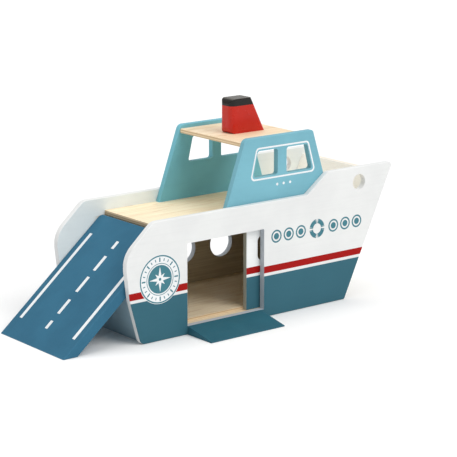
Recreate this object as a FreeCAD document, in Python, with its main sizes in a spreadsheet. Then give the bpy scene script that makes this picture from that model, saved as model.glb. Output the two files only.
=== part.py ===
import FreeCAD, Part
import os
import Sketcher

# Wooden toy car ferry. Millimetres, +Z up, +X towards the bow, -Y is the
# starboard side (the side with the door). The origin is on the centre plane
# of the hull, on the ground plane that the hull sides stand on.

V = FreeCAD.Vector
doc = FreeCAD.newDocument("toy_ferry")

# ---------------------------------------------------------------- dimensions
CELLS = [
    # hull sides: two flat plywood profiles
    ("half_beam", 65.0), ("side_ply", 6.5), ("inner_half", 58.5), ("edge_round", 0.9),
    ("foot_x", -136.9), ("bulge_x", -155.2), ("bulge_z", 91.9), ("knee_x", -149.9), ("knee_z", 47.0), ("knee_round", 25.0), ("quarter_x", -119.9),
    ("waist_z", 123.5), ("step_x", 81.0), ("fore_x", 109.5), ("fore_z", 144.8),
    ("stem_head_x", 204.2), ("stem_foot_x", 135.7),
    ("foot_round", 7.0), ("bulge_round", 28.0), ("quarter_round", 12.0),
    ("step_round", 4.0), ("head_round", 4.0), ("stem_foot_round", 2.0),
    # holes in the hull sides
    ("hawse_x", 154.3), ("hawse_z", 128.0), ("hawse_dia", 17.5),
    ("port_dia", 30.8), ("port_z", 50.5), ("port_xa", -40.8), ("port_xb", 10.7), ("port_xc", 62.2),
    ("gate_xa", -78.5), ("gate_xb", 22.0), ("gate_za", 9.0), ("gate_zb", 95.5), ("gate_round", 0.8),
    # decks
    ("deck_top", 110.0), ("deck_ply", 5.0), ("deck_aft", -93.4),
    ("floor_top", 12.0), ("floor_ply", 12.0),
    ("groove_deep", 2.5), ("floor_groove", 3.0), ("groove_in", 51.8), ("groove_xa", -82.3), ("groove_xb", 113.0),
    ("board_round", 0.8),
    # bow board and stern board, raked with the side profiles
    ("bow_foot", 115.2), ("bow_slope", 0.473), ("bow_thick", 7.2), ("bow_top", 137.0),
    ("stern_foot", -131.0), ("stern_slope", 0.27), ("stern_thick", 6.7), ("stern_top", 50.0),
    # superstructure
    ("cab_inner", 52.0), ("cab_top", 191.2), ("cab_aft_foot", -27.2), ("cab_aft_head", 2.0),
    ("cab_fore_head", 93.6), ("cab_fore_foot", 119.4), ("cab_aft_round", 7.0), ("cab_fore_round", 4.0),
    ("win_zb", 149.6), ("win_zt", 177.0), ("win_round", 3.0),
    ("wina_bl", 11.9), ("wina_tl", 18.5), ("wina_r", 45.3),
    ("winb_l", 57.2), ("winb_tr", 85.6), ("winb_br", 92.6),
    ("roof_top", 187.0), ("roof_ply", 5.0), ("roof_aft", 1.5), ("roof_fore", 88.5),
    # funnel
    ("fun_half", 10.0), ("fun_aft", 22.0), ("fun_fore_foot", 68.0), ("fun_fore_head", 49.5),
    ("fun_top", 224.0), ("fun_aft_round", 6.0), ("fun_fore_round", 3.0), ("fun_rim", 1.0),
    # stern ramp
    ("ramp_half", 58.1), ("ramp_thick", 11.2), ("ramp_angle", 40.3), ("piv_x", -100.31), ("piv_z", 98.45),
    ("ramp_end", 6.7), ("ramp_foot_top", -158.75), ("ramp_foot_low", -145.5), ("ramp_corner", 5.0),
    ("pin_dia", 4.0), ("pin_play", 0.05), ("pin_in", 46.0), ("pin_out", 62.5),
    # sliding side door
    ("door_out", 57.7), ("door_thick", 5.5), ("door_aft", 4.3), ("door_wide", 108.0),
    ("door_low", 9.3), ("door_high", 107.2), ("slot_wide", 12.0), ("slot_high", 26.0),
    ("slot_off", 20.8), ("slot_z", 73.6),
    # side ramp
    ("wedge_xa", -78.2), ("wedge_xb", 17.8), ("wedge_in", 65.3), ("wedge_out", 103.8),
    ("wedge_high", 9.0), ("wedge_toe", 1.2), ("peg_dia", 4.0), ("peg_z", 4.5), ("peg_play", 0.1),
    ("peg_xa", -55.0), ("peg_xb", -3.0), ("peg_in", 60.8), ("peg_out", 73.0),
    # blind wooden dowels
    ("dowel", 3.0), ("dowel_side", 4.0), ("dowel_board", 8.0), ("fun_dowel", 8.0),
    ("dd_xa", -88.5), ("dd_xb", 122.0), ("dd_xc", 156.0),
    ("fd_z", 6.0), ("fd_xa", -105.0), ("fd_xb", 45.0), ("fd_xc", 100.0),
    ("bd_za", 25.0), ("bd_zb", 75.0), ("bd_zc", 115.0),
    ("td_za", 14.0), ("td_zb", 38.0),
    ("cd_z", 116.5), ("cd_xa", -12.0), ("cd_xb", 40.0), ("cd_xc", 92.0),
    ("rd_xa", 22.0), ("rd_xb", 72.0),
]
sheet = doc.addObject("Spreadsheet::Sheet", "Dims")
DIM = {}
for i, (alias, value) in enumerate(CELLS, start=1):
    sheet.set("A%d" % i, alias)
    sheet.set("B%d" % i, repr(value))
    sheet.setAlias("B%d" % i, alias)
    DIM[alias] = value
doc.recompute()


def num(expr):
    """Value of a sheet expression, used to draw a sketch close to its solved shape."""
    probe = doc.getObject("probe_cell_value")
    if probe is None:
        probe = doc.addObject("App::FeaturePython", "probe_cell_value")
        probe.addProperty("App::PropertyFloat", "Value")
    probe.setExpression("Value", expr)
    probe.recompute()
    return float(probe.Value)


NODES = []


def new_body(label):
    body = doc.addObject("PartDesign::Body", label)
    body.Label = label
    body.Placement = FreeCAD.Placement()
    NODES.append(body)
    return body


def plane(body, role):
    return [o for o in body.Origin.OriginFeatures if o.Role == role][0]


def sketch_on(body, role, name, offset=None):
    sk = body.newObject("Sketcher::SketchObject", name)
    sk.AttachmentSupport = [(plane(body, role), "")]
    sk.MapMode = "FlatFace"
    if offset is not None:
        sk.AttachmentOffset = FreeCAD.Placement(V(0, 0, num(offset)), FreeCAD.Rotation())
        sk.setExpression("AttachmentOffset.Base.z", offset)
    return sk


def polygon(sk, pts):
    """Closed polygon whose corner coordinates are all bound to the sheet."""
    xy = [(num(a), num(b)) for a, b in pts]
    first = sk.GeometryCount
    n = len(xy)
    for i in range(n):
        a, b = xy[i], xy[(i + 1) % n]
        sk.addGeometry(Part.LineSegment(V(a[0], a[1], 0), V(b[0], b[1], 0)), False)
    for i in range(n):
        sk.addConstraint(Sketcher.Constraint("Coincident", first + i, 2, first + (i + 1) % n, 1))
    for i in range(n):
        for kind, expr, value in (("DistanceX", pts[i][0], xy[i][0]), ("DistanceY", pts[i][1], xy[i][1])):
            k = sk.addConstraint(Sketcher.Constraint(kind, -1, 1, first + i, 1, value))
            sk.setExpression("Constraints[%d]" % k, expr)


def circle(sk, x, y, dia):
    g = sk.addGeometry(Part.Circle(V(num(x), num(y), 0), V(0, 0, 1), num(dia) / 2), False)
    for kind, expr in (("DistanceX", x), ("DistanceY", y)):
        k = sk.addConstraint(Sketcher.Constraint(kind, -1, 1, g, 3, num(expr)))
        sk.setExpression("Constraints[%d]" % k, expr)
    k = sk.addConstraint(Sketcher.Constraint("Diameter", g, num(dia)))
    sk.setExpression("Constraints[%d]" % k, dia)


def pad(body, sk, name, length, symmetric=False, reverse=False):
    f = body.newObject("PartDesign::Pad", name)
    f.Profile = sk
    f.Length = num(length)
    f.setExpression("Length", length)
    if symmetric:
        f.SideType = "Symmetric"
    f.Reversed = reverse
    doc.recompute()
    return f


def through(body, sk, name):
    """Opening cut right through the board, both ways from its sketch."""
    before = body.Shape.Volume
    f = body.newObject("PartDesign::Pocket", name)
    f.Profile = sk
    f.Type = "ThroughAll"
    f.SideType = "Symmetric"
    doc.recompute()
    if not body.Shape.Volume < before - 0.5:
        raise RuntimeError("%s cuts nothing" % name)
    return f


def fillet(body, name, pick, radius):
    """Round the edges of the body's present tip that pick() accepts."""
    base = body.Tip
    names = ["Edge%d" % (i + 1) for i, e in enumerate(base.Shape.Edges) if pick(e)]
    if not names:
        raise RuntimeError("%s finds no edge" % name)
    f = body.newObject("PartDesign::Fillet", name)
    f.Base = (base, names)
    f.Radius = num(radius)
    f.setExpression("Radius", radius)
    doc.recompute()
    if f.Shape.isNull() or not f.Shape.isValid() or "Invalid" in f.State or "Error" in f.State:
        raise RuntimeError("%s failed" % name)
    return f


def at_xz(points, tol=0.02):
    """Edges that run along Y through one of the given corners."""
    def pick(e):
        vs = e.Vertexes
        if len(vs) != 2 or abs(vs[0].Y - vs[1].Y) < 0.5:
            return False
        return any(all(abs(v.X - x) < tol and abs(v.Z - z) < tol for v in vs) for x, z in points)
    return pick


def rim_of(body, axis, keep=None):
    """Outline edges of the two broad faces square to an axis ('y' or 'z')."""
    shape = body.Tip.Shape
    faces = []
    for f in shape.Faces:
        if f.Surface.TypeId != "Part::GeomPlane":
            continue
        nrm = f.normalAt(0.5, 0.5)
        comp = {"x": nrm.x, "y": nrm.y, "z": nrm.z}[axis]
        if abs(comp) > 0.999:
            faces.append(f)
    faces.sort(key=lambda f: -f.Area)
    wanted = []
    for f in faces[:2]:
        wanted += f.OuterWire.Edges

    def pick(e):
        if keep is not None and not keep(e):
            return False
        return any(e.isSame(w) for w in wanted)
    return pick


def bore(body, name, axis, x, y, z, dia, length):
    """Cylindrical bore that starts at x, y, z and runs along +axis."""
    before = body.Shape.Volume
    c = body.newObject("PartDesign::SubtractiveCylinder", name)
    rot = {"y": FreeCAD.Rotation(V(1, 0, 0), -90), "z": FreeCAD.Rotation()}[axis]
    c.Placement = FreeCAD.Placement(V(num(x), num(y), num(z)), rot)
    c.Radius = num(dia) / 2
    c.Height = num(length)
    c.setExpression("Radius", "(%s) / 2" % dia)
    c.setExpression("Height", length)
    c.setExpression("Placement.Base.x", x)
    c.setExpression("Placement.Base.y", y)
    c.setExpression("Placement.Base.z", z)
    doc.recompute()
    if not body.Shape.Volume < before - 0.1:
        raise RuntimeError("%s cuts nothing" % name)
    return c


def trench(body, name, x, y, z, lx, ly, lz):
    """Square-cornered cut for a groove."""
    before = body.Shape.Volume
    c = body.newObject("PartDesign::SubtractiveBox", name)
    c.Placement = FreeCAD.Placement(V(num(x), num(y), num(z)), FreeCAD.Rotation())
    for prop, expr in (("Length", lx), ("Width", ly), ("Height", lz)):
        setattr(c, prop, num(expr))
        c.setExpression(prop, expr)
    c.setExpression("Placement.Base.x", x)
    c.setExpression("Placement.Base.y", y)
    c.setExpression("Placement.Base.z", z)
    doc.recompute()
    if not body.Shape.Volume < before - 0.5:
        raise RuntimeError("%s cuts nothing" % name)
    return c


def pin_group(label, pins):
    """Separate round pins or dowels that share one node: (axis, x, y, z, dia, length)."""
    links = []
    for i, (axis, x, y, z, dia, length) in enumerate(pins):
        c = doc.addObject("Part::Cylinder", "%s_%d" % (label, i + 1))
        rot = {"y": FreeCAD.Rotation(V(1, 0, 0), -90), "z": FreeCAD.Rotation()}[axis]
        c.Placement = FreeCAD.Placement(V(num(x), num(y), num(z)), rot)
        c.setExpression("Radius", "(%s) / 2" % dia)
        c.setExpression("Height", length)
        c.setExpression("Placement.Base.x", x)
        c.setExpression("Placement.Base.y", y)
        c.setExpression("Placement.Base.z", z)
        links.append(c)
    doc.recompute()
    if len(links) == 1:
        links[0].Label = label
        NODES.append(links[0])
        return links[0]
    g = doc.addObject("Part::Compound", label)
    g.Links = links
    g.Label = label
    g.Placement = FreeCAD.Placement()
    doc.recompute()
    NODES.append(g)
    return g


D = "Dims."

# ---------------------------------------------------------------- hull sides
HULL = [(D + "foot_x", "0"), (D + "stem_foot_x", "0"), (D + "stem_head_x", D + "fore_z"),
        (D + "fore_x", D + "fore_z"), (D + "step_x", D + "waist_z"), (D + "quarter_x", D + "waist_z"),
        (D + "bulge_x", D + "bulge_z"), (D + "knee_x", D + "knee_z")]


def hull_side(label, offset):
    """Flat profile with a rounded outline, as it comes off the router."""
    b = new_body(label)
    sk = sketch_on(b, "XZ_Plane", label + "_outline", offset)
    polygon(sk, HULL)
    pad(b, sk, label + "_panel", D + "side_ply")
    d = DIM
    fillet(b, label + "_r_foot", at_xz([(d["foot_x"], 0)]), D + "foot_round")
    fillet(b, label + "_r_bulge", at_xz([(d["bulge_x"], d["bulge_z"])]), D + "bulge_round")
    fillet(b, label + "_r_knee", at_xz([(d["knee_x"], d["knee_z"])]), D + "knee_round")
    fillet(b, label + "_r_quarter", at_xz([(d["quarter_x"], d["waist_z"])]), D + "quarter_round")
    fillet(b, label + "_r_step", at_xz([(d["step_x"], d["waist_z"]), (d["fore_x"], d["fore_z"])]), D + "step_round")
    fillet(b, label + "_r_head", at_xz([(d["stem_head_x"], d["fore_z"])]), D + "head_round")
    fillet(b, label + "_r_stem_foot", at_xz([(d["stem_foot_x"], 0)]), D + "stem_foot_round")
    fillet(b, label + "_r_edges", rim_of(b, "y"), D + "edge_round")
    hk = sketch_on(b, "XZ_Plane", label + "_hawse_outline", offset)
    circle(hk, D + "hawse_x", D + "hawse_z", D + "hawse_dia")
    through(b, hk, label + "_hawse")
    return b


star = hull_side("hull_side_starboard", D + "inner_half")
gk = sketch_on(star, "XZ_Plane", "gate_outline", D + "inner_half")
polygon(gk, [(D + "gate_xa", D + "gate_za"), (D + "gate_xb", D + "gate_za"),
             (D + "gate_xb", D + "gate_zb"), (D + "gate_xa", D + "gate_zb")])
through(star, gk, "gate_opening")
fillet(star, "gate_corners", at_xz([(DIM["gate_xa"], DIM["gate_zb"]), (DIM["gate_xb"], DIM["gate_zb"])]),
       D + "gate_round")

port = hull_side("hull_side_port", "-" + D + "half_beam")
for tag in ("a", "b", "c"):
    pk = sketch_on(port, "XZ_Plane", "porthole_outline_" + tag, "-" + D + "half_beam")
    circle(pk, D + "port_x" + tag, D + "port_z", D + "port_dia")
    through(port, pk, "porthole_" + tag)

# blind bores for the dowels and the ramp's pivot pins, on the inside faces
ring = []          # (x, z) of every dowel between a cross board and the sides
for x in ("dd_xa", "dd_xb", "dd_xc"):
    ring.append(("deck", D + x, D + "deck_top - Dims.deck_ply / 2"))
for x in ("fd_xa", "fd_xb", "fd_xc"):
    ring.append(("floor", D + x, D + "fd_z"))
for z in ("bd_za", "bd_zb", "bd_zc"):
    ring.append(("bow", "Dims.bow_foot + Dims.bow_thick / 2 + Dims.bow_slope * Dims." + z, D + z))
for z in ("td_za", "td_zb"):
    ring.append(("stern", "Dims.stern_foot + Dims.stern_thick / 2 - Dims.stern_slope * Dims." + z, D + z))
for x in ("cd_xa", "cd_xb", "cd_xc"):
    ring.append(("cabin", D + x, D + "cd_z"))

for k, (what, x, z) in enumerate(ring):
    bore(star, "star_%s_bore_%d" % (what, k), "y", x, "-Dims.inner_half - Dims.dowel_side", z,
         D + "dowel", D + "dowel_side")
    bore(port, "port_%s_bore_%d" % (what, k), "y", x, D + "inner_half", z, D + "dowel", D + "dowel_side")

pivot_d = "Dims.pin_dia + 2 * Dims.pin_play"
bore(star, "star_pivot_bore", "y", D + "piv_x", "-Dims.pin_out - 0.3", D + "piv_z", pivot_d,
     "Dims.pin_out + 0.3 - Dims.inner_half")
bore(port, "port_pivot_bore", "y", D + "piv_x", D + "inner_half", D + "piv_z", pivot_d,
     "Dims.pin_out + 0.3 - Dims.inner_half")
for tag in ("a", "b"):
    bore(star, "star_peg_bore_" + tag, "y", D + "peg_x" + tag, "-Dims.half_beam", D + "peg_z",
         "Dims.peg_dia + 2 * Dims.peg_play", "Dims.half_beam - Dims.peg_in + 0.3")

# ---------------------------------------------------------------- main deck
deck = new_body("main_deck")
sk = sketch_on(deck, "XZ_Plane", "deck_section")
zlow = "Dims.deck_top - Dims.deck_ply"
xfore = "Dims.bow_foot + Dims.bow_slope * (%s)" % zlow
polygon(sk, [(D + "deck_aft", zlow), (xfore, zlow), (xfore, D + "deck_top"), (D + "deck_aft", D + "deck_top")])
pad(deck, sk, "deck_board", "2 * Dims.inner_half", symmetric=True)
fillet(deck, "deck_aft_edge", at_xz([(DIM["deck_aft"], DIM["deck_top"]), (DIM["deck_aft"], DIM["deck_top"] - DIM["deck_ply"])]),
       D + "board_round")
trench(deck, "deck_groove", D + "groove_xa", "-Dims.inner_half - 1", zlow + " - 1",
       "Dims.groove_xb - Dims.groove_xa", "Dims.inner_half + 1 - Dims.groove_in", "Dims.groove_deep + 1")

# ---------------------------------------------------------------- hold floor
floor = new_body("hold_floor")
sk = sketch_on(floor, "XZ_Plane", "floor_section")
flow = "Dims.floor_top - Dims.floor_ply"
fxa = "Dims.stern_foot + Dims.stern_thick - Dims.stern_slope * (%s)" % flow
fxb = "Dims.bow_foot + Dims.bow_slope * (%s)" % flow
polygon(sk, [(fxa, flow), (fxb, flow), (fxb, D + "floor_top"), (fxa, D + "floor_top")])
pad(floor, sk, "floor_board", "2 * Dims.inner_half", symmetric=True)
trench(floor, "floor_groove", D + "groove_xa", "-Dims.inner_half - 1", "Dims.floor_top - Dims.floor_groove",
       "Dims.groove_xb - Dims.groove_xa", "Dims.inner_half + 1 - Dims.groove_in", "Dims.floor_groove + 1")

# ---------------------------------------------------------------- bow board
bow = new_body("bow_board")
sk = sketch_on(bow, "XZ_Plane", "bow_section")
polygon(sk, [(D + "bow_foot", "0"), ("Dims.bow_foot + Dims.bow_thick", "0"),
             ("Dims.bow_foot + Dims.bow_thick + Dims.bow_slope * Dims.bow_top", D + "bow_top"),
             ("Dims.bow_foot + Dims.bow_slope * Dims.bow_top", D + "bow_top")])
pad(bow, sk, "bow_plank", "2 * Dims.inner_half", symmetric=True)
fillet(bow, "bow_top_edges", at_xz([
    (DIM["bow_foot"] + DIM["bow_thick"] + DIM["bow_slope"] * DIM["bow_top"], DIM["bow_top"]),
    (DIM["bow_foot"] + DIM["bow_slope"] * DIM["bow_top"], DIM["bow_top"])]), D + "board_round")

# ---------------------------------------------------------------- stern board
stern = new_body("stern_board")
sk = sketch_on(stern, "XZ_Plane", "stern_section")
polygon(sk, [(D + "stern_foot", "0"), ("Dims.stern_foot + Dims.stern_thick", "0"),
             ("Dims.stern_foot + Dims.stern_thick - Dims.stern_slope * Dims.stern_top", D + "stern_top"),
             ("Dims.stern_foot - Dims.stern_slope * Dims.stern_top", D + "stern_top")])
pad(stern, sk, "stern_plank", "2 * Dims.inner_half", symmetric=True)
fillet(stern, "stern_top_edges", at_xz([
    (DIM["stern_foot"] + DIM["stern_thick"] - DIM["stern_slope"] * DIM["stern_top"], DIM["stern_top"]),
    (DIM["stern_foot"] - DIM["stern_slope"] * DIM["stern_top"], DIM["stern_top"])]), D + "board_round")

# ---------------------------------------------------------------- cabin sides
def cabin_side(label, offset):
    """Tapered flat panel with two windows, standing on the deck against the hull side."""
    b = new_body(label)
    s = sketch_on(b, "XZ_Plane", label + "_outline", offset)
    polygon(s, [(D + "cab_aft_foot", D + "deck_top"), (D + "cab_fore_foot", D + "deck_top"),
                (D + "cab_fore_head", D + "cab_top"), (D + "cab_aft_head", D + "cab_top")])
    pad(b, s, label + "_panel", "Dims.inner_half - Dims.cab_inner")
    fillet(b, label + "_r_aft", at_xz([(DIM["cab_aft_head"], DIM["cab_top"])]), D + "cab_aft_round")
    fillet(b, label + "_r_fore", at_xz([(DIM["cab_fore_head"], DIM["cab_top"])]), D + "cab_fore_round")
    low = DIM["deck_top"] + 0.1
    fillet(b, label + "_r_edges", rim_of(b, "y", lambda e: max(v.Z for v in e.Vertexes) > low), D + "edge_round")
    w = sketch_on(b, "XZ_Plane", label + "_window_aft", offset)
    polygon(w, [(D + "wina_bl", D + "win_zb"), (D + "wina_r", D + "win_zb"),
                (D + "wina_r", D + "win_zt"), (D + "wina_tl", D + "win_zt")])
    through(b, w, label + "_cut_aft")
    w = sketch_on(b, "XZ_Plane", label + "_window_fore", offset)
    polygon(w, [(D + "winb_l", D + "win_zb"), (D + "winb_br", D + "win_zb"),
                (D + "winb_tr", D + "win_zt"), (D + "winb_l", D + "win_zt")])
    through(b, w, label + "_cut_fore")
    corners = [(DIM["wina_bl"], DIM["win_zb"]), (DIM["wina_r"], DIM["win_zb"]), (DIM["wina_r"], DIM["win_zt"]),
               (DIM["wina_tl"], DIM["win_zt"]), (DIM["winb_l"], DIM["win_zb"]), (DIM["winb_br"], DIM["win_zb"]),
               (DIM["winb_tr"], DIM["win_zt"]), (DIM["winb_l"], DIM["win_zt"])]
    fillet(b, label + "_r_windows", at_xz(corners), D + "win_round")
    return b


cab_s = cabin_side("cabin_side_starboard", D + "cab_inner")
cab_p = cabin_side("cabin_side_port", "-" + D + "inner_half")
for tag in ("a", "b", "c"):
    bore(cab_s, "cab_star_bore_" + tag, "y", D + "cd_x" + tag, "-Dims.inner_half", D + "cd_z", D + "dowel", D + "dowel_side")
    bore(cab_p, "cab_port_bore_" + tag, "y", D + "cd_x" + tag, "Dims.inner_half - Dims.dowel_side", D + "cd_z",
         D + "dowel", D + "dowel_side")
roof_mid = "Dims.roof_top - Dims.roof_ply / 2"
for tag in ("a", "b"):
    bore(cab_s, "cab_star_roof_bore_" + tag, "y", D + "rd_x" + tag, "-Dims.cab_inner - Dims.dowel_side", roof_mid,
         D + "dowel", D + "dowel_side")
    bore(cab_p, "cab_port_roof_bore_" + tag, "y", D + "rd_x" + tag, D + "cab_inner", roof_mid, D + "dowel", D + "dowel_side")

# ---------------------------------------------------------------- cabin roof
roof = new_body("cabin_roof")
sk = sketch_on(roof, "XZ_Plane", "roof_section")
rlow = "Dims.roof_top - Dims.roof_ply"
polygon(sk, [(D + "roof_aft", rlow), (D + "roof_fore", rlow), (D + "roof_fore", D + "roof_top"), (D + "roof_aft", D + "roof_top")])
pad(roof, sk, "roof_board", "2 * Dims.cab_inner", symmetric=True)
rl, rt = DIM["roof_top"] - DIM["roof_ply"], DIM["roof_top"]
fillet(roof, "roof_round_edges", at_xz([(DIM["roof_aft"], rl), (DIM["roof_aft"], rt), (DIM["roof_fore"], rl),
                                        (DIM["roof_fore"], rt)]), "Dims.board_round * 2")
for k, tag in enumerate(("a", "b")):
    bore(roof, "roof_bore_s" + tag, "y", D + "rd_x" + tag, "-Dims.cab_inner", roof_mid, D + "dowel", D + "dowel_board")
    bore(roof, "roof_bore_p" + tag, "y", D + "rd_x" + tag, "Dims.cab_inner - Dims.dowel_board", roof_mid,
         D + "dowel", D + "dowel_board")
fun_x = "(Dims.fun_aft + Dims.fun_fore_foot) / 2"
bore(roof, "roof_funnel_bore", "z", fun_x, "0", rlow + " + 1", D + "fun_dowel", "Dims.roof_ply")

# ---------------------------------------------------------------- funnel
funnel = new_body("funnel")
sk = sketch_on(funnel, "XZ_Plane", "funnel_section")
polygon(sk, [(D + "fun_aft", D + "roof_top"), (D + "fun_fore_foot", D + "roof_top"),
             (D + "fun_fore_head", D + "fun_top"), (D + "fun_aft", D + "fun_top")])
pad(funnel, sk, "funnel_block", "2 * Dims.fun_half", symmetric=True)
fillet(funnel, "funnel_aft_round", lambda e: all(abs(v.X - DIM["fun_aft"]) < 0.02 and abs(abs(v.Y) - DIM["fun_half"]) < 0.02
                                                 for v in e.Vertexes), D + "fun_aft_round")
fillet(funnel, "funnel_fore_round", lambda e: len(e.Vertexes) == 2 and abs(e.Vertexes[0].Z - e.Vertexes[1].Z) > 10
       and all(abs(abs(v.Y) - DIM["fun_half"]) < 0.02 for v in e.Vertexes) and min(v.X for v in e.Vertexes) > 45,
       D + "fun_fore_round")
fillet(funnel, "funnel_rim", lambda e: all(abs(v.Z - DIM["fun_top"]) < 0.02 for v in e.Vertexes), D + "fun_rim")
bore(funnel, "funnel_bore", "z", fun_x, "0", D + "roof_top", D + "fun_dowel", "12")

# ---------------------------------------------------------------- stern ramp
# Drawn flat with its pivot axis at the origin, then laid back to its resting slope,
# where the bevelled foot is flat on the ground.
ramp = new_body("stern_ramp")
sk = sketch_on(ramp, "XZ_Plane", "ramp_section")
polygon(sk, [(D + "ramp_end", "-Dims.ramp_thick / 2"), (D + "ramp_end", "Dims.ramp_thick / 2"),
             (D + "ramp_foot_top", "Dims.ramp_thick / 2"), (D + "ramp_foot_low", "-Dims.ramp_thick / 2")])
pad(ramp, sk, "ramp_board", "2 * Dims.ramp_half", symmetric=True)
hh = DIM["ramp_thick"] / 2
fillet(ramp, "ramp_end_corners", lambda e: len(e.Vertexes) == 2 and abs(e.Vertexes[0].Z - e.Vertexes[1].Z) > 5
       and all(abs(v.X - DIM["ramp_end"]) < 0.02 for v in e.Vertexes), D + "ramp_corner")
fillet(ramp, "ramp_end_edges", lambda e: all(v.X > DIM["ramp_end"] - 5.5 for v in e.Vertexes)
       and all(abs(abs(v.Z) - hh) < 0.02 for v in e.Vertexes), "1.25 * Dims.board_round")
bore(ramp, "ramp_bore_s", "y", "0", "-Dims.ramp_half - 0.5", "0", D + "pin_dia", "Dims.ramp_half + 0.5 - Dims.pin_in")
bore(ramp, "ramp_bore_p", "y", "0", D + "pin_in", "0", D + "pin_dia", "Dims.ramp_half + 0.5 - Dims.pin_in")
ramp.Placement = FreeCAD.Placement(V(DIM["piv_x"], 0, DIM["piv_z"]), FreeCAD.Rotation(V(0, -1, 0), DIM["ramp_angle"]))
ramp.setExpression("Placement.Base.x", D + "piv_x")
ramp.setExpression("Placement.Base.z", D + "piv_z")
ramp.setExpression("Placement.Rotation.Angle", "Dims.ramp_angle * 1 deg")
doc.recompute()

# ---------------------------------------------------------------- sliding side door
door = new_body("side_door")
sk = sketch_on(door, "XZ_Plane", "door_outline", "Dims.door_out - Dims.door_thick")
dx0, dx1 = D + "door_aft", "Dims.door_aft + Dims.door_wide"
polygon(sk, [(dx0, D + "door_low"), (dx1, D + "door_low"), (dx1, D + "door_high"), (dx0, D + "door_high")])
pad(door, sk, "door_panel", D + "door_thick")
fillet(door, "door_edges", lambda e: len(e.Vertexes) == 2 and abs(e.Vertexes[0].Z - e.Vertexes[1].Z) > 50, "Dims.board_round / 2")
sk = sketch_on(door, "XZ_Plane", "slot_outline", "Dims.door_out - Dims.door_thick")
sx = "Dims.door_aft + Dims.slot_off"
polygon(sk, [(sx + " - Dims.slot_wide / 2", "Dims.slot_z - Dims.slot_high / 2"),
             (sx + " + Dims.slot_wide / 2", "Dims.slot_z - Dims.slot_high / 2"),
             (sx + " + Dims.slot_wide / 2", "Dims.slot_z + Dims.slot_high / 2"),
             (sx + " - Dims.slot_wide / 2", "Dims.slot_z + Dims.slot_high / 2")])
through(door, sk, "finger_slot")
cx = DIM["door_aft"] + DIM["slot_off"]
fillet(door, "slot_ends", at_xz([(cx + a * DIM["slot_wide"] / 2, DIM["slot_z"] + c * DIM["slot_high"] / 2)
                                 for a in (-1, 1) for c in (-1, 1)]), "Dims.slot_wide / 2 - 0.4")

# ---------------------------------------------------------------- side ramp
wedge = new_body("side_ramp")
sk = sketch_on(wedge, "YZ_Plane", "wedge_section", D + "wedge_xa")
polygon(sk, [("-Dims.wedge_in", "0"), ("-Dims.wedge_in", D + "wedge_high"), ("-Dims.wedge_out", D + "wedge_toe"),
             ("-Dims.wedge_out", "0")])
pad(wedge, sk, "wedge_block", "Dims.wedge_xb - Dims.wedge_xa")
fillet(wedge, "wedge_edges", lambda e: min(v.Z for v in e.Vertexes) > 1.0 and len(e.Vertexes) == 2
       and not (all(abs(v.Y + DIM["wedge_in"]) < 0.02 for v in e.Vertexes)), "0.5")
for tag in ("a", "b"):
    bore(wedge, "wedge_bore_" + tag, "y", D + "peg_x" + tag, "-Dims.peg_out", D + "peg_z", D + "peg_dia",
         "Dims.peg_out - Dims.wedge_in + 0.5")

# ---------------------------------------------------------------- dowels in the cross boards
def board_bores(body, what):
    k = 0
    for kind, x, z in ring:
        if kind != what:
            continue
        k += 1
        bore(body, "%s_end_bore_s%d" % (what, k), "y", x, "-Dims.inner_half", z, D + "dowel", D + "dowel_board")
        bore(body, "%s_end_bore_p%d" % (what, k), "y", x, "Dims.inner_half - Dims.dowel_board", z,
             D + "dowel", D + "dowel_board")


board_bores(deck, "deck")
board_bores(floor, "floor")
board_bores(bow, "bow")
board_bores(stern, "stern")


def board_dowels(label, what):
    pins = []
    full = "Dims.dowel_side + Dims.dowel_board"
    for kind, x, z in ring:
        if kind != what:
            continue
        pins.append(("y", x, "-Dims.inner_half - Dims.dowel_side", z, D + "dowel", full))
        pins.append(("y", x, "Dims.inner_half - Dims.dowel_board", z, D + "dowel", full))
    return pin_group(label, pins)


board_dowels("deck_dowels", "deck")
board_dowels("floor_dowels", "floor")
board_dowels("bow_board_dowels", "bow")
board_dowels("stern_board_dowels", "stern")
pins = []
for tag in ("a", "b", "c"):
    pins.append(("y", D + "cd_x" + tag, "-Dims.inner_half - Dims.dowel_side", D + "cd_z", D + "dowel", "2 * Dims.dowel_side"))
    pins.append(("y", D + "cd_x" + tag, "Dims.inner_half - Dims.dowel_side", D + "cd_z", D + "dowel", "2 * Dims.dowel_side"))
pin_group("cabin_dowels", pins)
pins = []
for tag in ("a", "b"):
    pins.append(("y", D + "rd_x" + tag, "-Dims.cab_inner - Dims.dowel_side", roof_mid, D + "dowel", "Dims.dowel_side + Dims.dowel_board"))
    pins.append(("y", D + "rd_x" + tag, "Dims.cab_inner - Dims.dowel_board", roof_mid, D + "dowel", "Dims.dowel_side + Dims.dowel_board"))
pin_group("roof_dowels", pins)
pin_group("funnel_dowel", [("z", fun_x, "0", rlow + " + 1", D + "fun_dowel", "Dims.roof_ply - 1 + 12")])
pin_group("ramp_pivot_pins", [
    ("y", D + "piv_x", "-Dims.pin_out", D + "piv_z", D + "pin_dia", "Dims.pin_out - Dims.pin_in"),
    ("y", D + "piv_x", D + "pin_in", D + "piv_z", D + "pin_dia", "Dims.pin_out - Dims.pin_in")])
pin_group("side_ramp_pegs", [
    ("y", D + "peg_x" + tag, "-Dims.peg_out", D + "peg_z", D + "peg_dia", "Dims.peg_out - Dims.peg_in") for tag in ("a", "b")])

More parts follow.
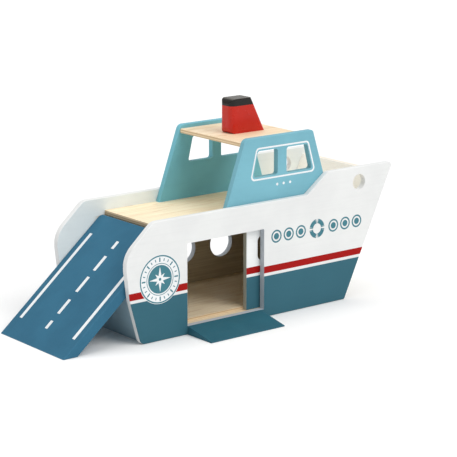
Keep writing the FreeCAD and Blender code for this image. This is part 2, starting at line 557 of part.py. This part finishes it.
# ---------------------------------------------------------------- check and write
probe = doc.getObject("probe_cell_value")
if probe is not None:
    doc.removeObject("probe_cell_value")
doc.recompute()
bad = [o.Name for o in doc.Objects if "Invalid" in o.State or "Error" in o.State]
if bad:
    raise RuntimeError("objects not recomputed cleanly: %s" % bad)
for o in NODES:
    if o.Shape.isNull() or not o.Shape.isValid():
        raise RuntimeError("%s has no valid shape" % o.Label)
    if not o.Shape.Solids:
        raise RuntimeError("%s has no solid" % o.Label)
os.makedirs("parts", exist_ok=True)
for o in NODES:
    o.Shape.exportStep("parts/%s.step" % o.Label)
    bb = o.Shape.BoundBox
    print("%-24s solids %2d  vol %9.1f  x %7.2f %7.2f  y %7.2f %7.2f  z %7.2f %7.2f" % (
        o.Label, len(o.Shape.Solids), o.Shape.Volume, bb.XMin, bb.XMax, bb.YMin, bb.YMax, bb.ZMin, bb.ZMax))
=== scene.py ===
import bpy, bmesh, math
from mathutils import Vector, Matrix
from mathutils.geometry import tessellate_polygon


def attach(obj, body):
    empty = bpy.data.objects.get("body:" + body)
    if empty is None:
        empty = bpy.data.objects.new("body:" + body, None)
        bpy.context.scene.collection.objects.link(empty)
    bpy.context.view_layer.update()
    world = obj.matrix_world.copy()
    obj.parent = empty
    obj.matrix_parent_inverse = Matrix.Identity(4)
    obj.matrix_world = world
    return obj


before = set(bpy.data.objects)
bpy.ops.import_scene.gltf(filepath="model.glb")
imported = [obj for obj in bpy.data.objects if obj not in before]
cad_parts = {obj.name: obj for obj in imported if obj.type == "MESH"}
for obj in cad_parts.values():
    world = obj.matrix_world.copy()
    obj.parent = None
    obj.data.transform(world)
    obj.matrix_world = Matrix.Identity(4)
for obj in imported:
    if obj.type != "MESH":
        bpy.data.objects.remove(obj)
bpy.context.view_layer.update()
MM = 0.001

# ------------------------------------------------------------------ node helpers
class Tree:
    """A material's node tree with short calls for the nodes used here."""

    def __init__(self, name):
        self.mat = bpy.data.materials.new(name)
        self.mat.use_nodes = True
        self.nt = self.mat.node_tree
        for n in list(self.nt.nodes):
            self.nt.nodes.remove(n)
        self.out = self.nt.nodes.new("ShaderNodeOutputMaterial")
        self.bsdf = self.nt.nodes.new("ShaderNodeBsdfPrincipled")
        self.nt.links.new(self.bsdf.outputs[0], self.out.inputs[0])
        self.tc = self.nt.nodes.new("ShaderNodeTexCoord")
        self.pos = self.tc.outputs["Object"]
        self.nrm = self.tc.outputs["Normal"]

    def put(self, sock, value):
        if isinstance(value, bpy.types.NodeSocket):
            self.nt.links.new(value, sock)
        else:
            sock.default_value = value

    def math(self, op, a, b=None, c=None, clamp=False):
        n = self.nt.nodes.new("ShaderNodeMath")
        n.operation = op
        n.use_clamp = clamp
        self.put(n.inputs[0], a)
        if b is not None:
            self.put(n.inputs[1], b)
        if c is not None:
            self.put(n.inputs[2], c)
        return n.outputs[0]

    def dot(self, v, axis):
        n = self.nt.nodes.new("ShaderNodeVectorMath")
        n.operation = "DOT_PRODUCT"
        self.put(n.inputs[0], v)
        n.inputs[1].default_value = axis
        return n.outputs["Value"]

    def xyz(self, v):
        n = self.nt.nodes.new("ShaderNodeSeparateXYZ")
        self.put(n.inputs[0], v)
        return n.outputs[0], n.outputs[1], n.outputs[2]

    def combine(self, x, y, z):
        n = self.nt.nodes.new("ShaderNodeCombineXYZ")
        self.put(n.inputs[0], x)
        self.put(n.inputs[1], y)
        self.put(n.inputs[2], z)
        return n.outputs[0]

    def scaled(self, scale, shift=(0, 0, 0), src=None):
        n = self.nt.nodes.new("ShaderNodeMapping")
        self.put(n.inputs["Vector"], src if src is not None else self.pos)
        n.inputs["Scale"].default_value = scale
        n.inputs["Location"].default_value = shift
        return n.outputs[0]

    def noise(self, vec, scale, detail=3.0, rough=0.5, distortion=0.0):
        n = self.nt.nodes.new("ShaderNodeTexNoise")
        self.put(n.inputs["Vector"], vec)
        n.inputs["Scale"].default_value = scale
        n.inputs["Detail"].default_value = detail
        n.inputs["Roughness"].default_value = rough
        n.inputs["Distortion"].default_value = distortion
        return n.outputs["Fac"]

    def ramp(self, fac, stops, interp="LINEAR"):
        n = self.nt.nodes.new("ShaderNodeValToRGB")
        self.put(n.inputs[0], fac)
        n.color_ramp.interpolation = interp
        el = n.color_ramp.elements
        while len(el) > len(stops):
            el.remove(el[-1])
        while len(el) < len(stops):
            el.new(1.0)
        for e, (p, c) in zip(el, stops):
            e.position = p
            e.color = c if len(c) == 4 else (c[0], c[1], c[2], 1)
        return n.outputs[0]

    def remap(self, v, a, b, c, d, smooth=False):
        n = self.nt.nodes.new("ShaderNodeMapRange")
        if smooth:
            n.interpolation_type = "SMOOTHSTEP"
        self.put(n.inputs["Value"], v)
        n.inputs["From Min"].default_value = a
        n.inputs["From Max"].default_value = b
        n.inputs["To Min"].default_value = c
        n.inputs["To Max"].default_value = d
        return n.outputs[0]

    def mix(self, fac, a, b, mode="MIX"):
        n = self.nt.nodes.new("ShaderNodeMix")
        n.data_type = "RGBA"
        n.blend_type = mode
        self.put(n.inputs[0], fac)
        for s, v in ((n.inputs[6], a), (n.inputs[7], b)):
            if not isinstance(v, bpy.types.NodeSocket) and len(v) == 3:
                v = (v[0], v[1], v[2], 1)
            self.put(s, v)
        return n.outputs[2]

    def bump(self, height, distance, strength=1.0, normal=None):
        n = self.nt.nodes.new("ShaderNodeBump")
        n.inputs["Strength"].default_value = strength
        n.inputs["Distance"].default_value = distance
        self.put(n.inputs["Height"], height)
        if normal is not None:
            self.put(n.inputs["Normal"], normal)
        return n.outputs[0]

    def edge(self, radius, samples=4):
        """0 on flats, up to 1 on corners, from the difference between the bevelled and the true normal."""
        b = self.nt.nodes.new("ShaderNodeBevel")
        b.samples = samples
        b.inputs["Radius"].default_value = radius
        g = self.nt.nodes.new("ShaderNodeNewGeometry")
        n = self.nt.nodes.new("ShaderNodeVectorMath")
        n.operation = "DOT_PRODUCT"
        self.put(n.inputs[0], b.outputs[0])
        self.put(n.inputs[1], g.outputs["Normal"])
        return self.remap(n.outputs["Value"], 1.0, 0.72, 0.0, 1.0)

    def finish(self, color, rough, normal, coat=0.0, coat_rough=0.1, spec=0.5):
        self.put(self.bsdf.inputs["Base Color"], color)
        self.put(self.bsdf.inputs["Roughness"], rough)
        if normal is not None:
            self.put(self.bsdf.inputs["Normal"], normal)
        self.bsdf.inputs["Coat Weight"].default_value = coat
        self.bsdf.inputs["Coat Roughness"].default_value = coat_rough
        self.bsdf.inputs["Specular IOR Level"].default_value = spec
        return self.mat


def paint_body(t, color, grain=(18, 420, 420), rough=(0.34, 0.47), wear=None, worn=0.5, coat=0.0, seed=0.0, vary=0.06, spec=0.09):
    """Satin paint sprayed on a wooden board: faint grain telegraphing through, orange peel, slight tone drift, and
    arrises tinted towards an edge colour: partly edge wear, partly painted edge light (a painted highlight where the
    edge colour is lighter, painted shade where it is darker)."""
    drift = t.noise(t.scaled((1, 1, 1), (seed, seed, seed)), 22.0, 4.0, 0.55)
    grainv = t.noise(t.scaled(grain, (seed, 0, 0)), 1.0, 5.0, 0.6, 0.4)
    peel = t.noise(t.pos, 950.0, 2.0, 0.5)
    dark = t.mix(1.0, color, (1 - vary, 1 - vary, 1 - vary * 0.9), "MULTIPLY")
    lite = t.mix(1.0, color, (1 + vary * 0.55, 1 + vary * 0.55, 1 + vary * 0.5), "MULTIPLY")
    col = t.mix(t.remap(drift, 0.3, 0.7, 0, 1, True), dark, lite)
    col = t.mix(t.remap(grainv, 0.45, 0.75, 0.0, 0.25), col, t.mix(1.0, col, (0.90, 0.90, 0.90), "MULTIPLY"))
    # edge tint: partly edge wear, partly painted edge highlight and shade
    if wear is not None:
        e = t.edge(0.0011)
        ragged = t.noise(t.pos, 260.0, 4.0, 0.7)
        mask = t.math("MULTIPLY", e, t.remap(ragged, 0.40, 0.62, 0.25, 1.0), clamp=True)
        mask = t.math("MULTIPLY", mask, worn)
        col = t.mix(mask, col, wear)
    r = t.remap(t.noise(t.pos, 60.0, 4.0, 0.6), 0.3, 0.7, rough[0], rough[1])
    n1 = t.bump(grainv, 0.00007, 0.55)
    n2 = t.bump(peel, 0.00002, 0.5, n1)
    return t.finish(col, r, n2, coat=coat, coat_rough=0.22, spec=spec)


def paint(name, color, **kw):
    t = Tree(name)
    return paint_body(t, (*color, 1), **kw)


WHITE = (0.785, 0.795, 0.79)
RED = (0.362, 0.0055, 0.0045)
TEAL = (0.040, 0.135, 0.180)
# the same white paint on inner faces, tinted cooler: painted blue bounce from the ramp
WHITE_IN_BLUE_BOUNCE = (0.80, 0.85, 0.85)


# cut: grey for the cut faces round the gate and the door slot, painted shade in that recess
def livery(name, sign, seed, cut=(0.50, 0.54, 0.58), white=WHITE):
    """White board; its outer face carries a teal bottom, a white line and a red band."""
    t = Tree(name)
    x, y, z = t.xyz(t.pos)
    nx, ny, nz = t.xyz(t.nrm)
    wob = t.noise(t.scaled((1, 1, 1), (seed, 0, 0)), 90.0, 2.0)
    zz = t.math("ADD", z, t.remap(wob, 0, 1, -0.00012, 0.00012))
    outer = t.remap(t.math("MULTIPLY", ny, sign), 0.30, 0.40, 0, 1)
    teal = t.remap(zz, 0.04435, 0.04445, 1, 0)
    red = t.math("MULTIPLY", t.remap(zz, 0.04745, 0.04755, 0, 1), t.remap(zz, 0.05475, 0.05485, 1, 0))
    inside = t.remap(t.math("MULTIPLY", ny, sign), -0.8, -0.9, 0, 1)
    # inner faces under the deck get a streaked tan far darker than the birch boards: partly bare ply, partly painted
    # shade under the deck
    streak = t.noise(t.scaled((12, 500, 500), (seed, 0, 0)), 1.0, 5.0, 0.6)
    hold_ply_and_shade = t.mix(t.remap(streak, 0.35, 0.7, 0, 1), (0.58, 0.49, 0.335, 1), (0.44, 0.35, 0.215, 1))
    hold = t.math("MULTIPLY", t.remap(z, 0.1048, 0.1052, 1, 0), t.remap(x, -0.110, -0.094, 0, 1, True))
    fore = t.math("SUBTRACT", x, t.math("MULTIPLY", z, 0.473))
    hold = t.math("MULTIPLY", hold, t.remap(fore, 0.1180, 0.1186, 1, 0))
    col = t.mix(inside, (*white, 1), t.mix(hold, (*WHITE_IN_BLUE_BOUNCE, 1), hold_ply_and_shade))
    # cut faces of the gate, the door and its slot get the grey cut colour: painted shade in the recess around the door
    gate_recess_shade = t.remap(t.math("ABSOLUTE", ny), 0.5, 0.35, 0, 1)
    below = t.remap(z, 0.1078, 0.1074, 0, 1)
    mid = t.math("MULTIPLY", t.remap(x, -0.0790, -0.0785, 0, 1), t.remap(x, 0.1130, 0.1125, 0, 1))
    gate_recess_shade = t.math("MULTIPLY", t.math("MULTIPLY", gate_recess_shade, below), t.math("MULTIPLY", mid, t.remap(z, 0.001, 0.002, 0, 1)))
    col = t.mix(gate_recess_shade, col, (*cut, 1))
    col = t.mix(t.math("MULTIPLY", teal, outer), col, (*TEAL, 1))
    col = t.mix(t.math("MULTIPLY", red, outer), col, (*RED, 1))
    return paint_body(t, col, wear=(0.70, 0.70, 0.67, 1), worn=0.35, seed=seed, vary=0.035)


def birch(name, grain, thick, seed, tone=1.0, figure=1.0, pale=0.0, rim=1.0):
    """Clear-varnished birch ply. grain: unit vector of the face grain; thick: unit vector
    through the board. Faces show figure and pores, edges show the glued plies."""
    t = Tree(name)
    g = Vector(grain).normalized()
    k = Vector(thick).normalized()
    c = g.cross(k)
    u = t.dot(t.pos, g)
    v = t.dot(t.pos, c)
    w = t.dot(t.pos, k)
    vec = t.combine(t.math("MULTIPLY", u, 1.0), t.math("MULTIPLY", v, 1.0), t.math("MULTIPLY", w, 1.0))
    # growth-ring contours, long along the grain
    field = t.noise(t.scaled((4.2, 46, 46), (seed, seed * 0.7, 0), vec), 1.0, 2.0, 0.45, 0.25)
    rings = t.math("FRACT", t.math("MULTIPLY", field, 15.0))
    ring = t.ramp(rings, [(0.0, (1, 1, 1)), (0.10, (0.15, 0.15, 0.15)), (0.45, (0, 0, 0)), (0.86, (0.35, 0.35, 0.35)), (1.0, (1, 1, 1))])
    streak = t.noise(t.scaled((14, 620, 620), (seed, 0, 0), vec), 1.0, 5.0, 0.65)
    pore = t.noise(t.scaled((110, 2600, 2600), (0, seed, 0), vec), 1.0, 3.0, 0.6)
    cloud = t.noise(t.scaled((9, 26, 26), (seed, 1, 0), vec), 1.0, 3.0, 0.5)
    def shade(r, g, b):
        return tuple(min(1.0, c * tone + (w * tone - c * tone) * pale) for c, w in ((r, 0.95), (g, 0.925), (b, 0.865))) + (1,)

    lite = shade(0.95, 0.82, 0.60)
    mid = shade(0.88, 0.69, 0.455)
    dark = shade(0.64, 0.42, 0.22)
    col = t.mix(t.remap(cloud, 0.35, 0.65, 0, 0.55, True), lite, mid)
    fig = t.math("MULTIPLY", ring, 0.42 * figure)
    col = t.mix(fig, col, dark)
    col = t.mix(t.remap(streak, 0.50, 0.78, 0.0, 0.42 * figure), col, dark)
    col = t.mix(t.remap(pore, 0.60, 0.75, 0.0, 0.45), col, (0.42 * tone, 0.25 * tone, 0.12 * tone, 1))
    # plies on the edges
    on_edge = t.remap(t.math("ABSOLUTE", t.dot(t.nrm, k)), 0.75, 0.55, 0, 1)
    lam = t.math("FRACT", t.math("MULTIPLY", t.math("ADD", w, 10.0), 1 / 0.0026))
    lam_n = t.noise(t.scaled((60, 60, 900), (seed, 0, 0), vec), 1.0, 3.0)
    lam_mask = t.remap(t.math("ABSOLUTE", t.math("SUBTRACT", lam, 0.5)), 0.22, 0.28, 1, 0)
    end_grain = t.mix(t.remap(lam_n, 0.35, 0.7, 0, 1), (0.56 * tone, 0.38 * tone, 0.21 * tone, 1), (0.68 * tone, 0.49 * tone, 0.29 * tone, 1))
    long_grain = t.mix(t.remap(lam_n, 0.35, 0.7, 0, 1), (0.84 * tone, 0.67 * tone, 0.44 * tone, 1), (0.78 * tone, 0.60 * tone, 0.38 * tone, 1))
    edge_col = t.mix(1.0, t.mix(lam_mask, long_grain, end_grain), (rim, rim, rim), "MULTIPLY")
    edge_col = t.mix(0.85 * pale, edge_col, (0.90, 0.86, 0.77))
    col = t.mix(on_edge, col, edge_col)
    r = t.remap(streak, 0.3, 0.7, 0.42, 0.58)
    h = t.math("ADD", t.math("MULTIPLY", streak, 0.6), t.math("MULTIPLY", pore, 0.6))
    n1 = t.bump(h, 0.00012, 0.6)
    n1 = t.bump(lam_mask, 0.00006, 0.4, n1)
    return t.finish(col, r, n1, coat=0.12, coat_rough=0.3, spec=0.4)


def steel(name):
    t = Tree(name)
    n = t.noise(t.scaled((900, 40, 900)), 1.0, 3.0)
    t.bsdf.inputs["Metallic"].default_value = 1.0
    return t.finish(t.mix(n, (0.55, 0.56, 0.58, 1), (0.70, 0.70, 0.71, 1)), t.remap(n, 0.3, 0.7, 0.25, 0.42), t.bump(n, 0.00002, 0.5))


def funnel_paint(name):
    t = Tree(name)
    x, y, z = t.xyz(t.pos)
    nx, ny, nz = t.xyz(t.nrm)
    wob = t.noise(t.pos, 120.0, 2.0)
    zz = t.math("ADD", z, t.remap(wob, 0, 1, -0.00015, 0.00015))
    black = t.remap(zz, 0.21635, 0.21645, 0, 1)
    # upward faces of the black cap are made lighter: painted sheen on the cap top
    top = t.remap(nz, 0.80, 0.97, 0, 1)
    cap_black_top_sheen = t.mix(top, (0.0095, 0.0078, 0.0065, 1), (0.100, 0.094, 0.080, 1))
    col = t.mix(black, (0.53, 0.014, 0.004, 1), cap_black_top_sheen)
    return paint_body(t, col, grain=(420, 420, 18), wear=(0.62, 0.20, 0.13, 1), worn=0.18, rough=(0.22, 0.32), seed=3.1, vary=0.07, spec=0.30)


M = {}
M["star"] = livery("livery_starboard", -1.0, 1.3)
M["port"] = livery("livery_port", 1.0, 4.7)
# the door's white is a lighter copy of the livery white (painted light against the shade on the door), its cut faces a
# darker grey (painted shade in the slot)
M["door"] = livery("livery_door_painted_light", -1.0, 8.2, cut=(0.40, 0.40, 0.34), white=(0.88, 0.895, 0.89))
S2 = Vector((1, 0, -0.473)).normalized()
M["deck"] = birch("birch_deck", (1, 0, 0), (0, 0, 1), 2.0, tone=1.10, figure=1.30, rim=0.78)
M["floor"] = birch("birch_hold_floor", (1, 0, 0), (0, 0, 1), 5.0, tone=0.91)
M["roof"] = birch("birch_roof", (1, 0, 0), (0, 0, 1), 9.0, tone=1.03, figure=1.45)
M["bow"] = birch("birch_bow_board", (0, 1, 0), S2, 12.0, tone=1.05, figure=0.40, pale=1.0)
M["dowel"] = birch("beech_dowel", (0, 1, 0), (1, 0, 0), 21.0, tone=0.95)
M["dowel_up"] = birch("beech_dowel_upright", (0, 0, 1), (1, 0, 0), 22.0, tone=0.95)
M["stern"] = paint("grey_stern_board", (0.33, 0.47, 0.54), grain=(420, 18, 420), wear=(0.5, 0.55, 0.57, 1), worn=0.3, seed=6.0, vary=0.04)
M["cabin_s"] = paint("sky_blue_starboard", (0.200, 0.462, 0.555), wear=(0.42, 0.68, 0.74, 1), worn=0.45, seed=2.2)
# same blue paint as the starboard side, shifted greener and brighter: painted reflection on the far cabin side
M["cabin_p"] = paint("sky_blue_port_painted_reflection", (0.184, 0.490, 0.585), wear=(0.42, 0.68, 0.74, 1), worn=0.45, seed=7.7)
M["ramp"] = paint("ramp_blue", (0.038, 0.150, 0.243), wear=(0.16, 0.32, 0.44, 1), worn=0.5, seed=3.7, grain=(18, 420, 18), vary=0.09)
M["wedge"] = paint("side_ramp_blue", (0.029, 0.120, 0.164), wear=(0.10, 0.24, 0.36, 1), worn=0.4, seed=5.5, vary=0.09)
M["funnel"] = funnel_paint("funnel_red_black")
M["pin"] = steel("drawn_steel")
M["ink_white"] = paint("ink_white", (0.84, 0.86, 0.87), rough=(0.30, 0.40), seed=1.0, vary=0.05)
M["ink_teal"] = paint("ink_teal", (0.064, 0.210, 0.258), rough=(0.30, 0.40), seed=1.5, vary=0.06)

WEARS = {
    "hull_side_starboard": "star", "hull_side_port": "port", "side_door": "door", "main_deck": "deck",
    "hold_floor": "floor", "cabin_roof": "roof", "bow_board": "bow", "stern_board": "stern",
    "cabin_side_starboard": "cabin_s", "cabin_side_port": "cabin_p", "funnel": "funnel",
    "stern_ramp": "ramp", "side_ramp": "wedge", "ramp_pivot_pins": "pin",
    "side_ramp_pegs": "dowel", "deck_dowels": "dowel", "floor_dowels": "dowel", "bow_board_dowels": "dowel",
    "stern_board_dowels": "dowel", "cabin_dowels": "dowel", "roof_dowels": "dowel", "funnel_dowel": "dowel_up",
}
for node, key in WEARS.items():
    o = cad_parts[node]
    if not o.material_slots:
        o.data.materials.append(M[key])
    for s in o.material_slots:
        s.link = "OBJECT"
        s.material = M[key]

# ------------------------------------------------------------------ printed films
def arc(cx, cy, r, a0=0.0, a1=360.0, n=64):
    full = abs(a1 - a0) >= 360
    m = n if full else n + 1
    return [(cx + r * math.cos(math.radians(a0 + (a1 - a0) * i / n)), cy + r * math.sin(math.radians(a0 + (a1 - a0) * i / n)))
            for i in range(m)]


def rounded(pts, r, n=8):
    """Polygon with every corner replaced by an arc of radius r."""
    out = []
    m = len(pts)
    for i in range(m):
        p0, p1, p2 = (Vector(pts[(i - 1) % m]), Vector(pts[i]), Vector(pts[(i + 1) % m]))
        a, b = (p0 - p1).normalized(), (p2 - p1).normalized()
        half = a.angle(b) / 2
        cut = r / math.tan(half)
        q0, q1 = p1 + a * cut, p1 + b * cut
        centre = p1 + (a + b).normalized() * (r / math.sin(half))
        s, e = q0 - centre, q1 - centre
        ang = math.atan2(s.x * e.y - s.y * e.x, s.dot(e))
        for j in range(n + 1):
            th = ang * j / n
            out.append((centre.x + s.x * math.cos(th) - s.y * math.sin(th), centre.y + s.x * math.sin(th) + s.y * math.cos(th)))
    return out


def inset(pts, d):
    """Straight-sided polygon moved inwards by d; pts run clockwise or anticlockwise."""
    m = len(pts)
    area = sum(pts[i][0] * pts[(i + 1) % m][1] - pts[(i + 1) % m][0] * pts[i][1] for i in range(m))
    sgn = 1 if area > 0 else -1
    lines = []
    for i in range(m):
        a, b = Vector(pts[i]), Vector(pts[(i + 1) % m])
        t = (b - a).normalized()
        nrm = Vector((-t.y, t.x)) * sgn
        lines.append((a + nrm * d, t))
    out = []
    for i in range(m):
        (p, u), (q, w) = lines[i - 1], lines[i]
        det = u.x * w.y - u.y * w.x
        s = ((q.x - p.x) * w.y - (q.y - p.y) * w.x) / det
        out.append((p.x + u.x * s, p.y + u.y * s))
    return out


def film(name, shapes, place, mat, body, low=-0.02, high=0.05):
    """Thin closed film of ink. shapes: list of (outer loop, [hole loops]) in millimetres."""
    me = bpy.data.meshes.new(name)
    verts, faces = [], []
    for outer, holes in shapes:
        loops = [outer] + list(holes)
        base = len(verts)
        flat = [p for lp in loops for p in lp]
        tris = tessellate_polygon([[Vector((p[0], p[1], 0)) for p in lp] for lp in loops])
        n = len(flat)
        verts += [place(p[0], p[1], high) for p in flat] + [place(p[0], p[1], low) for p in flat]
        for a, b, c in tris:
            ax, ay = flat[a]; bx, by = flat[b]; cx_, cy_ = flat[c]
            if abs((bx - ax) * (cy_ - ay) - (by - ay) * (cx_ - ax)) < 1e-9:
                continue
            faces.append((base + a, base + b, base + c))
            faces.append((base + n + c, base + n + b, base + n + a))
        k = 0
        for lp in loops:
            m = len(lp)
            for i in range(m):
                a, b = k + i, k + (i + 1) % m
                faces.append((base + a, base + b, base + n + b, base + n + a))
            k += m
    me.from_pydata([tuple(v) for v in verts], [], faces)
    bm = bmesh.new()
    bm.from_mesh(me)
    bmesh.ops.recalc_face_normals(bm, faces=bm.faces)
    bm.to_mesh(me)
    bm.free()
    me.materials.append(mat)
    o = bpy.data.objects.new(name, me)
    bpy.context.scene.collection.objects.link(o)
    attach(o, body)
    return o


def on_star(u, v, w):
    return Vector((u * MM, (-65.0 - w) * MM, v * MM))


def on_port(u, v, w):
    return Vector((u * MM, (65.0 + w) * MM, v * MM))


def on_cab_star(u, v, w):
    return Vector((u * MM, (-58.5 - w) * MM, v * MM))


def on_cab_port(u, v, w):
    return Vector((u * MM, (58.5 + w) * MM, v * MM))


PIV = Vector((-100.31, 0.0, 98.45))
TH = math.radians(40.3)
CT, ST = math.cos(TH), math.sin(TH)


def on_ramp(u, v, w):
    """u is the distance up the board from its foot, v is across."""
    s, n = -158.75 + u, 5.6 + w
    return Vector((PIV.x + s * CT - n * ST, v, PIV.z + s * ST + n * CT)) * MM


def bar(u0, u1, v, width, r=None):
    h = width / 2
    pts = [(u0, v - h), (u1, v - h), (u1, v + h), (u0, v + h)]
    return (rounded(pts, r if r else 0.25, 4), [])


lines = [bar(24.0, 140.0, v, 4.4) for v in (-48.7, 47.6)]
for a, b in ((23.5, 33.7), (43.2, 62.0), (72.4, 92.4), (101.1, 120.5), (130.7, 140.6)):
    lines.append(bar(a, b, 0.0, 4.4))
film("road_lines", lines, on_ramp, M["ink_white"], "stern_ramp_body")


def star_shape(cx, cy, r1, r2, n, turn=0.0):
    pts = []
    for i in range(2 * n):
        r = r1 if i % 2 == 0 else r2
        a = math.radians(turn + 90 + 180.0 * i / n)
        pts.append((cx + r * math.cos(a), cy + r * math.sin(a)))
    return pts


def badge(side, place):
    """A generic compass roundel: rings, graduations and an eight-point star."""
    cx, cy = -112.8, 64.0
    film("badge_ground_" + side, [(arc(cx, cy, 25.3, n=96), [])], place, M["ink_white"], "hull", -0.02, 0.03)
    marks = [(arc(cx, cy, 24.8, n=96), [arc(cx, cy, 23.4, n=96)]), (arc(cx, cy, 16.6, n=80), [arc(cx, cy, 15.9, n=80)])]
    for i in range(24):
        a = math.radians(15 * i)
        long = i % 3 == 0
        r0, r1, h = (17.9, 22.4, 0.75) if long else (18.9, 21.6, 0.5)
        c, s = math.cos(a), math.sin(a)
        marks.append(([(cx + r0 * c - h * s, cy + r0 * s + h * c), (cx + r0 * c + h * s, cy + r0 * s - h * c),
                       (cx + r1 * c + h * s, cy + r1 * s - h * c), (cx + r1 * c - h * s, cy + r1 * s + h * c)], []))
    marks.append((arc(cx, cy, 14.6, n=80), []))
    film("badge_marks_" + side, marks, place, M["ink_teal"], "hull", -0.02, 0.055)
    film("badge_star_" + side, [(star_shape(cx, cy, 8.2, 2.6, 4, 45.0), [])], place, M["ink_white"], "hull", -0.02, 0.075)
    film("badge_points_" + side, [(star_shape(cx, cy, 13.2, 2.9, 4), [])], place, M["ink_white"], "hull", -0.02, 0.08)
    film("badge_hub_" + side, [(arc(cx, cy, 1.5, n=24), [])], place, M["ink_teal"], "hull", -0.02, 0.10)


def bow_marks(side, place):
    """A life-ring between two rows of plain painted portlights."""
    cx, cy = 94.8, 85.2
    shapes = []
    for k in range(4):
        a0, a1 = 90 * k + 14, 90 * k + 76
        outer = arc(cx, cy, 10.4, a0, a1, 20) + list(reversed(arc(cx, cy, 5.6, a0, a1, 20)))
        shapes.append((outer, []))
        m = 90 * k
        for q in (m - 9, m + 9):
            c, s = math.cos(math.radians(q)), math.sin(math.radians(q))
            h = 0.45
            shapes.append(([(cx + 5.6 * c - h * s, cy + 5.6 * s + h * c), (cx + 5.6 * c + h * s, cy + 5.6 * s - h * c),
                            (cx + 10.4 * c + h * s, cy + 10.4 * s - h * c), (cx + 10.4 * c - h * s, cy + 10.4 * s + h * c)], []))
    for x in (38.6, 55.4, 72.2, 118.0, 134.8, 151.6):
        shapes.append((arc(x, cy, 7.0, n=48), [arc(x, cy, 5.3, n=48)]))
        shapes.append((arc(x, cy, 3.5, n=32), []))
    film("bow_marks_" + side, shapes, place, M["ink_teal"], "hull")


for side, place in (("starboard", on_star), ("port", on_port)):
    badge(side, place)
    bow_marks(side, place)

frame_pts = [(16.5, 180.5), (87.2, 180.5), (97.4, 146.2), (8.2, 146.2)]
for side, place in (("starboard", on_cab_star), ("port", on_cab_port)):
    shp = [(rounded(frame_pts, 4.5), [rounded(inset(frame_pts, 1.75), 3.2)])]
    for x in (44.6, 53.4, 62.3):
        shp.append((arc(x, 139.1, 1.45, n=24), []))
    film("window_lines_" + side, shp, place, M["ink_white"], "hull")

# ------------------------------------------------------------------ floor, light, camera
fl = bpy.data.meshes.new("studio_floor")
L = 12.0
fl.from_pydata([(-L, -L, 0), (L, -L, 0), (L, L, 0), (-L, L, 0)], [], [(0, 1, 2, 3)])
floor_ob = bpy.data.objects.new("studio_floor", fl)
bpy.context.scene.collection.objects.link(floor_ob)
floor_ob.location.z = -0.0002
t = Tree("studio_floor")
speck = t.noise(t.pos, 3.0, 2.0)
fl.materials.append(t.finish(t.mix(speck, (0.92, 0.92, 0.92, 1), (0.94, 0.94, 0.94, 1)), 0.9, None, spec=0.1))

world = bpy.data.worlds.new("studio_world")
bpy.context.scene.world = world
world.use_nodes = True
bg = world.node_tree.nodes["Background"]
bg.inputs[0].default_value = (1.0, 1.0, 1.0, 1)
bg.inputs[1].default_value = 0.51


def sun(name, toward, strength, angle, color=(1, 1, 1)):
    """Soft distant light that comes from the direction toward."""
    d = bpy.data.lights.new(name, "SUN")
    d.energy = strength
    d.angle = math.radians(angle)
    d.color = color
    o = bpy.data.objects.new(name, d)
    o.rotation_euler = Vector(toward).to_track_quat("Z", "Y").to_euler()
    bpy.context.scene.collection.objects.link(o)
    return o


sun("key_window", (0.35, -1.0, 1.05), 1.35, 38.0, (1.0, 0.995, 0.98))
sun("top_window", (-0.15, 0.1, 1.0), 1.25, 60.0)

cam_d = bpy.data.cameras.new("camera")
cam_d.lens = 142.5
cam_d.sensor_width = 36.0
cam_d.clip_end = 60.0
cam = bpy.data.objects.new("camera", cam_d)
az, el = math.radians(-38.46), math.radians(13.52)
back = Vector((math.sin(az) * math.cos(el), -math.cos(az) * math.cos(el), math.sin(el)))
cam.location = (-1.1437, -1.4728, 0.5354)
cam.rotation_euler = (-back).to_track_quat("-Z", "Y").to_euler()
bpy.context.scene.collection.objects.link(cam)
bpy.context.scene.camera = cam

bpy.context.scene.view_settings.view_transform = "Standard"
bpy.context.scene.view_settings.look = "None"
bpy.context.scene.view_settings.exposure = 0.0
